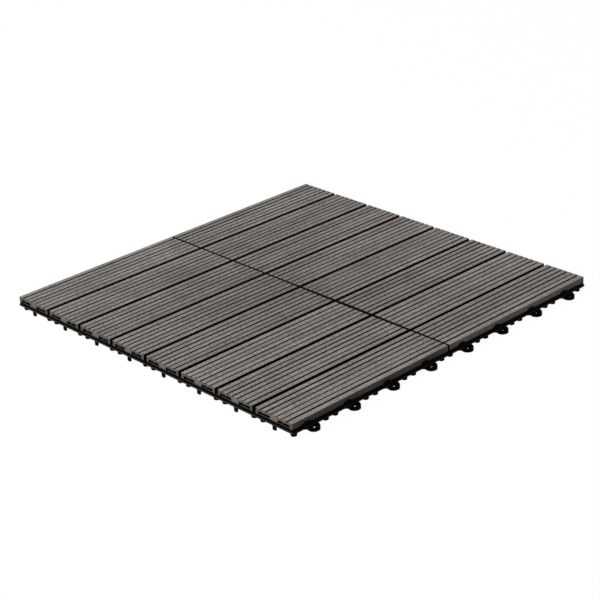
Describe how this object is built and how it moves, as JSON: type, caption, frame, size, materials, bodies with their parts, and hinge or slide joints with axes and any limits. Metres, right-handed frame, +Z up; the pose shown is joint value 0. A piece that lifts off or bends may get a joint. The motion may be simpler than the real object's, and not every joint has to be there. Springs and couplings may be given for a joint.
{
  "type": "interlocking deck tile",
  "caption": "Square outdoor floor panel of deck tiles clipped together: grooved composite slats screwed to black moulded bases, with loops on two sides and pins on the other two.",
  "frame": {"origin": "middle of the square of four tiles, on the floor under the feet; the loops on the right and back sides lie outside that square", "axes": "+Z up; the slats run along Y; the loops are on the +X and +Y sides and the pins on the -X and -Y sides"},
  "size_m": [0.6076, 0.6076, 0.022],
  "materials": {
    "composite_slat": "matt brushed wood and plastic composite, warm grey",
    "base_plastic": "matt moulded plastic, black",
    "screw_steel": "plain zinc plated"
  },
  "bodies": {
    "root": {"base_front_left": "base_plastic", "feet_front_left": "base_plastic", "pins_front_left": "base_plastic", "loops_front_left": "base_plastic", "slat_front_left_1": "composite_slat", "slat_front_left_2": "composite_slat", "slat_front_left_3": "composite_slat", "slat_front_left_4": "composite_slat", "base_front_right": "base_plastic", "feet_front_right": "base_plastic", "pins_front_right": "base_plastic", "loops_front_right": "base_plastic", "slat_front_right_1": "composite_slat", "slat_front_right_2": "composite_slat", "slat_front_right_3": "composite_slat", "slat_front_right_4": "composite_slat", "base_back_left": "base_plastic", "feet_back_left": "base_plastic", "pins_back_left": "base_plastic", "loops_back_left": "base_plastic", "slat_back_left_1": "composite_slat", "slat_back_left_2": "composite_slat", "slat_back_left_3": "composite_slat", "slat_back_left_4": "composite_slat", "base_back_right": "base_plastic", "feet_back_right": "base_plastic", "pins_back_right": "base_plastic", "loops_back_right": "base_plastic", "slat_back_right_1": "composite_slat", "slat_back_right_2": "composite_slat", "slat_back_right_3": "composite_slat", "slat_back_right_4": "composite_slat", "screws": "screw_steel"}
  },
  "joints": []
}
